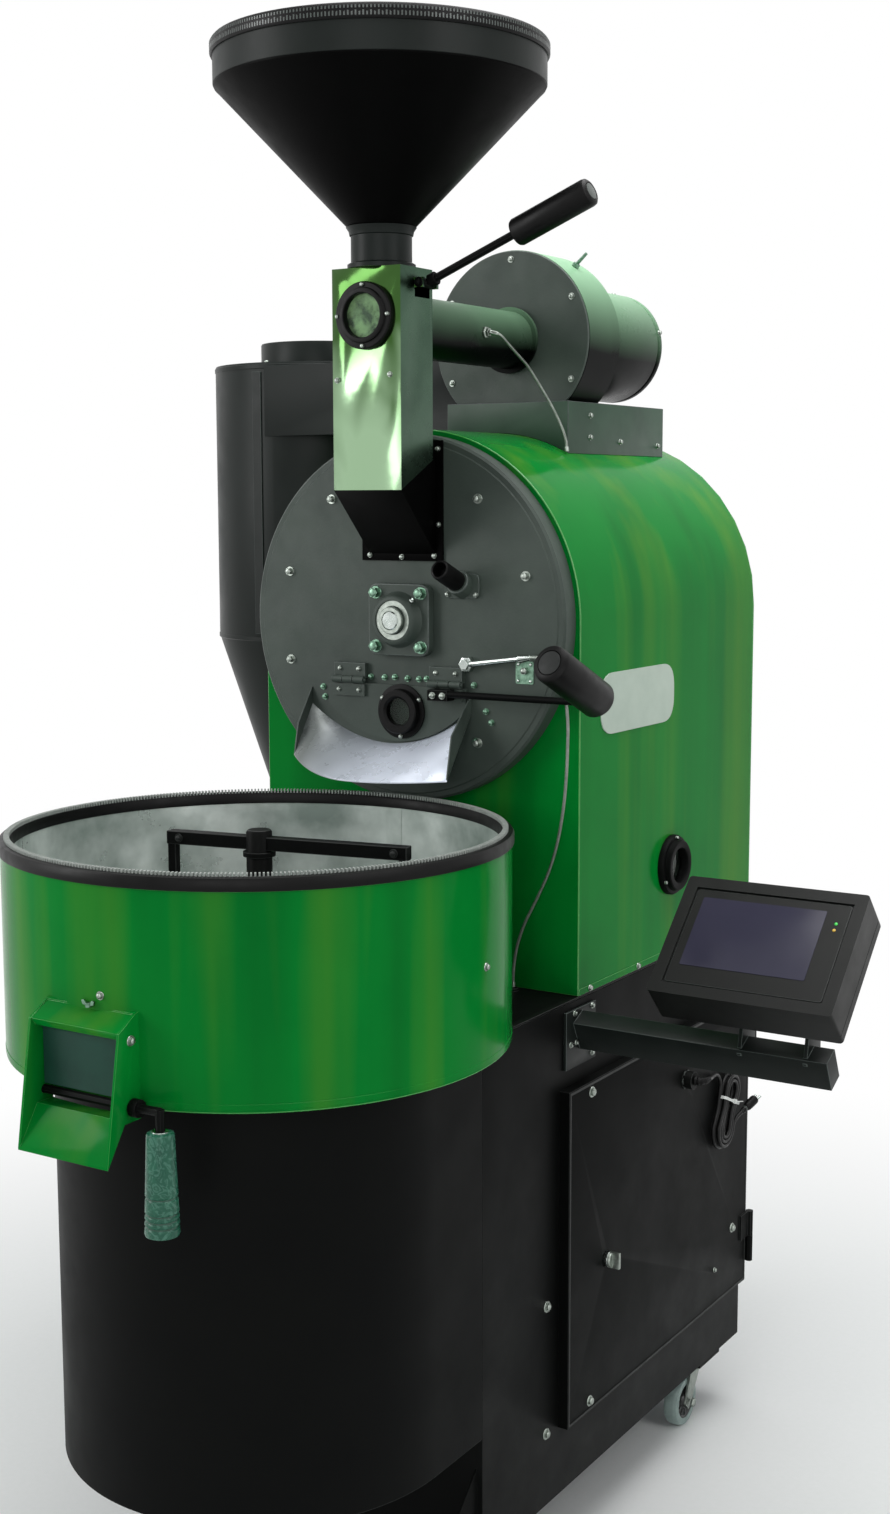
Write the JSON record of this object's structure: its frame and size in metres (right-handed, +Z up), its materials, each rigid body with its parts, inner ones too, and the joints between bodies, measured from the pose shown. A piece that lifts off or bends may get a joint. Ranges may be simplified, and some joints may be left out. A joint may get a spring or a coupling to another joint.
{
  "type": "drum coffee roaster",
  "caption": "Free-standing drum coffee roaster with hopper, round cooling bin and stirrer, exhaust fan, cyclone, tilting operator screen and swivel casters.",
  "frame": {"origin": "centre of the bounding box at the floor", "axes": "+Z up, -Y towards the operator at the drum face, +X to the operator's right, drum axis along Y"},
  "size_m": [1.228, 1.363, 1.951],
  "materials": {
    "green_paint": "glossy green enamel",
    "black_paint": "satin black paint",
    "grey_paint": "satin dark grey paint",
    "stainless": "polished stainless sheet",
    "bright_steel": "ground and plated steel",
    "zinc": "zinc plated steel",
    "dark_steel": "heat darkened steel",
    "cast": "painted cast iron",
    "tyre": "pale polyurethane tread",
    "grip": "black moulded grip",
    "marbled": "marbled grey-green handle",
    "case": "dark case with a screen",
    "cable": "black cable sheath",
    "braid": "braided steel sleeve"
  },
  "bodies": {
    "frame": {"base_cabinet": "black_paint", "deck_plate": "black_paint", "bin_skirt": "black_paint", "bin_wall": "green_paint", "bin_liner": "stainless", "bin_floor": "stainless", "stirrer_gearmotor": "grey_paint", "cooling_blower": "grey_paint", "outlet_hood": "green_paint", "housing_shell": "green_paint", "housing_rear_panel": "green_paint", "front_plate": "cast", "drum_casing": "dark_steel", "front_bearing": "cast", "drum_gearmotor": "grey_paint", "burner": "dark_steel", "peephole": "black_paint", "spout": "stainless", "bean_probe_cable": "braid", "hopper": "black_paint", "feed_chute": "stainless", "chute_wedge": "black_paint", "sight_ring": "black_paint", "exhaust_pipe": "grey_paint", "exhaust_probe_cable": "braid", "fan_scroll": "grey_paint", "fan_cover": "black_paint", "fan_motor": "grey_paint", "fan_bracket": "grey_paint", "cyclone": "grey_paint", "chaff_drum": "grey_paint", "screen_arm": "grey_paint"},
    "swivel_front_left": {"caster_fork_front_left": "zinc"},
    "wheel_front_left": {"caster_wheel_front_left": "tyre"},
    "swivel_front_right": {"caster_fork_front_right": "zinc"},
    "wheel_front_right": {"caster_wheel_front_right": "tyre"},
    "swivel_rear_left": {"caster_fork_rear_left": "zinc"},
    "wheel_rear_left": {"caster_wheel_rear_left": "tyre"},
    "swivel_rear_right": {"caster_fork_rear_right": "zinc"},
    "wheel_rear_right": {"caster_wheel_rear_right": "tyre"},
    "service_door_leaf": {"service_door": "black_paint", "power_lead": "cable", "power_hank": "cable", "power_plug": "grip"},
    "lock": {"door_lock": "zinc"},
    "stirrer": {"stirrer_arms": "black_paint"},
    "outlet_lever": {"gate_lever": "black_paint", "gate_grip": "marbled"},
    "outlet_flap": {"bin_gate": "grey_paint"},
    "drum": {"roasting_drum": "dark_steel", "drum_shaft": "bright_steel"},
    "trier": {"sampler": "dark_steel"},
    "discharge": {"discharge_door": "cast", "door_lever": "black_paint", "door_grip": "grip"},
    "feed_gate": {"feed_lever": "black_paint", "feed_grip": "grip"},
    "impeller": {"fan_impeller": "dark_steel"},
    "damper": {"damper_lever": "black_paint"},
    "screen": {"screen_box": "case"}
  },
  "joints": [
    {"name": "swivel_front_left_turn", "type": "hinge", "parent": "frame", "child": "swivel_front_left", "pos_m": [-0.231, -0.2815, 0.1], "axis": [0, 0, 1], "continuous": true},
    {"name": "wheel_front_left_roll", "type": "hinge", "parent": "swivel_front_left", "child": "wheel_front_left", "pos_m": [-0.231, -0.3115, 0.0375], "axis": [1, 0, 0], "continuous": true},
    {"name": "swivel_front_right_turn", "type": "hinge", "parent": "frame", "child": "swivel_front_right", "pos_m": [0.187, -0.2815, 0.1], "axis": [0, 0, 1], "continuous": true},
    {"name": "wheel_front_right_roll", "type": "hinge", "parent": "swivel_front_right", "child": "wheel_front_right", "pos_m": [0.187, -0.3115, 0.0375], "axis": [1, 0, 0], "continuous": true},
    {"name": "swivel_rear_left_turn", "type": "hinge", "parent": "frame", "child": "swivel_rear_left", "pos_m": [-0.231, 0.4485, 0.1], "axis": [0, 0, 1], "continuous": true},
    {"name": "wheel_rear_left_roll", "type": "hinge", "parent": "swivel_rear_left", "child": "wheel_rear_left", "pos_m": [-0.231, 0.4185, 0.0375], "axis": [1, 0, 0], "continuous": true},
    {"name": "swivel_rear_right_turn", "type": "hinge", "parent": "frame", "child": "swivel_rear_right", "pos_m": [0.187, 0.4485, 0.1], "axis": [0, 0, 1], "continuous": true},
    {"name": "wheel_rear_right_roll", "type": "hinge", "parent": "swivel_rear_right", "child": "wheel_rear_right", "pos_m": [0.187, 0.4185, 0.0375], "axis": [1, 0, 0], "continuous": true},
    {"name": "service_door_swing", "type": "hinge", "parent": "frame", "child": "service_door_leaf", "pos_m": [0.24275, 0.5425, 0.425], "axis": [0, 0, 1], "range_deg": [0, 110]},
    {"name": "door_lock_turn", "type": "hinge", "parent": "service_door_leaf", "child": "lock", "pos_m": [0.22475, 0.0665, 0.396], "axis": [1, 0, 0], "range_deg": [0, 90]},
    {"name": "stirrer_turn", "type": "hinge", "parent": "frame", "child": "stirrer", "pos_m": [-0.022, -0.3345, 0.76], "axis": [0, 0, 1], "continuous": true},
    {"name": "gate_lever_pull", "type": "hinge", "parent": "frame", "child": "outlet_lever", "pos_m": [-0.022, -0.6415, 0.766], "axis": [-1, 0, 0], "range_deg": [0, 85]},
    {"name": "gate_swing", "type": "hinge", "parent": "frame", "child": "outlet_flap", "pos_m": [-0.022, -0.6415, 0.838], "axis": [-1, 0, 0], "range_deg": [0, 60]},
    {"name": "drum_turn", "type": "hinge", "parent": "frame", "child": "drum", "pos_m": [-0.022, 0.2805, 1.2445], "axis": [0, 1, 0], "continuous": true},
    {"name": "sampler_pull", "type": "slide", "parent": "frame", "child": "trier", "axis": [0, -0.9272, 0.3746], "range_m": [0, 0.12]},
    {"name": "discharge_door_lift", "type": "hinge", "parent": "frame", "child": "discharge", "pos_m": [-0.022, -0.0295, 1.163], "axis": [-1, 0, 0], "range_deg": [0, 60]},
    {"name": "feed_lever_lift", "type": "hinge", "parent": "frame", "child": "feed_gate", "pos_m": [0.05525, -0.0815, 1.664], "axis": [0, -1, 0], "range_deg": [0, 30]},
    {"name": "fan_impeller_turn", "type": "hinge", "parent": "frame", "child": "impeller", "pos_m": [-0.002, 0.2705, 1.6176], "axis": [0, 1, 0], "continuous": true},
    {"name": "damper_turn", "type": "hinge", "parent": "frame", "child": "damper", "pos_m": [0.07, 0.2805, 1.722], "axis": [0.5677, 0, 0.8232], "range_deg": [0, 90]},
    {"name": "screen_tilt", "type": "hinge", "parent": "frame", "child": "screen", "pos_m": [0.499, 0.0205, 0.806], "axis": [1, 0, 0], "range_deg": [-15, 15]}
  ],
  "couplings": [
    {"joint": "gate_swing", "follows": "gate_lever_pull", "ratio": 0.7}
  ]
}
